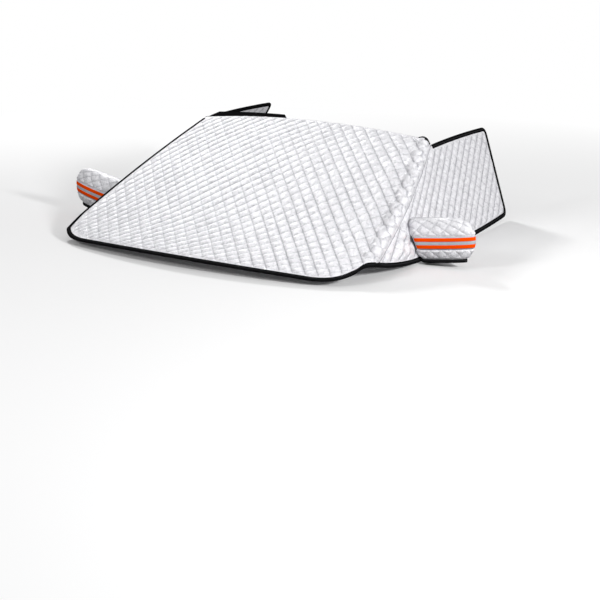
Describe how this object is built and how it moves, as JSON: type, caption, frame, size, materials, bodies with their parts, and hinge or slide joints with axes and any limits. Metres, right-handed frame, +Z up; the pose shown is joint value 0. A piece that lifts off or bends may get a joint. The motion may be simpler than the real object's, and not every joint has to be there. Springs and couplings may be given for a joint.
{
  "type": "windshield frost cover",
  "caption": "Quilted silver frost cover for a windshield, with side wings that tuck behind the front doors and mirror pockets with reflective and orange bands.",
  "frame": {"origin": "middle of the panel's lower edge, on its inner face, where it lies at the foot of the windshield", "axes": "+Z up; -Y forward, so the panel rises towards +Y; +X towards the left-hand side as seen by someone facing forward"},
  "size_m": [2.118, 1.7082, 0.497],
  "materials": {
    "silver_cloth": "satin silver-coated quilted cloth",
    "black_tape": "matte woven edge tape",
    "reflective_silver": "satin retro-reflective tape",
    "orange_tape": "matte fluorescent tape"
  },
  "bodies": {
    "root": {"main_panel": "silver_cloth", "side_wing_left": "silver_cloth", "side_wing_right": "silver_cloth", "edge_binding": "black_tape", "wing_binding_right": "black_tape", "corner_binding_left": "black_tape", "top_strip": "black_tape", "mirror_cover_left": "silver_cloth", "mirror_cover_right": "silver_cloth", "mirror_hem_left": "black_tape", "mirror_hem_right": "black_tape", "reflective_band_left": "reflective_silver", "reflective_band_right": "reflective_silver", "orange_stripe_upper_left": "orange_tape", "orange_stripe_upper_right": "orange_tape", "orange_stripe_lower_left": "orange_tape", "orange_stripe_lower_right": "orange_tape"}
  },
  "joints": []
}
